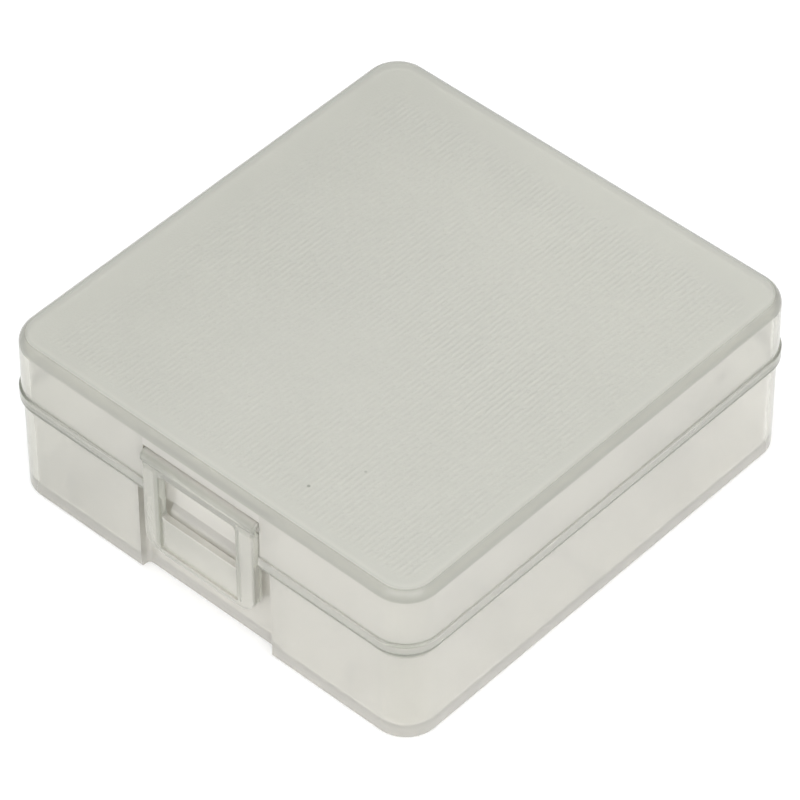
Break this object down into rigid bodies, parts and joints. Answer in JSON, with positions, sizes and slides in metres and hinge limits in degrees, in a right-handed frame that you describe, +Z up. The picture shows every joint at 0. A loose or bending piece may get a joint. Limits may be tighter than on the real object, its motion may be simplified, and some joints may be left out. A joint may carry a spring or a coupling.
{
  "type": "battery storage case",
  "caption": "Flat rectangular translucent plastic case with a rear-hinged lid, a front snap latch and ribbed seats that hold cylindrical cells side by side.",
  "frame": {"origin": "centre of the tray's flat underside", "axes": "+Z up, -Y towards the latch, +Y towards the lid's hinge, X along the cells"},
  "size_m": [0.0738, 0.0823, 0.028],
  "materials": {
    "tray_polypropylene": "frosted translucent polypropylene, smooth mould finish",
    "lid_polypropylene": "frosted translucent polypropylene, fine straight grain on the roof, smooth margin and walls",
    "latch_polypropylene": "frosted translucent polypropylene, smooth mould finish"
  },
  "bodies": {
    "tray": {"base_tray": "tray_polypropylene"},
    "lid": {"hinged_lid": "lid_polypropylene"},
    "latch": {"snap_latch": "latch_polypropylene"}
  },
  "joints": [
    {"name": "lid_hinge", "type": "hinge", "parent": "tray", "child": "lid", "pos_m": [0, 0.041, 0.01635], "axis": [-1, 0, 0], "range_deg": [0, 180]},
    {"name": "latch_hinge", "type": "hinge", "parent": "lid", "child": "latch", "pos_m": [0, -0.0384, 0.0232], "axis": [-1, 0, 0], "range_deg": [0, 110]}
  ]
}
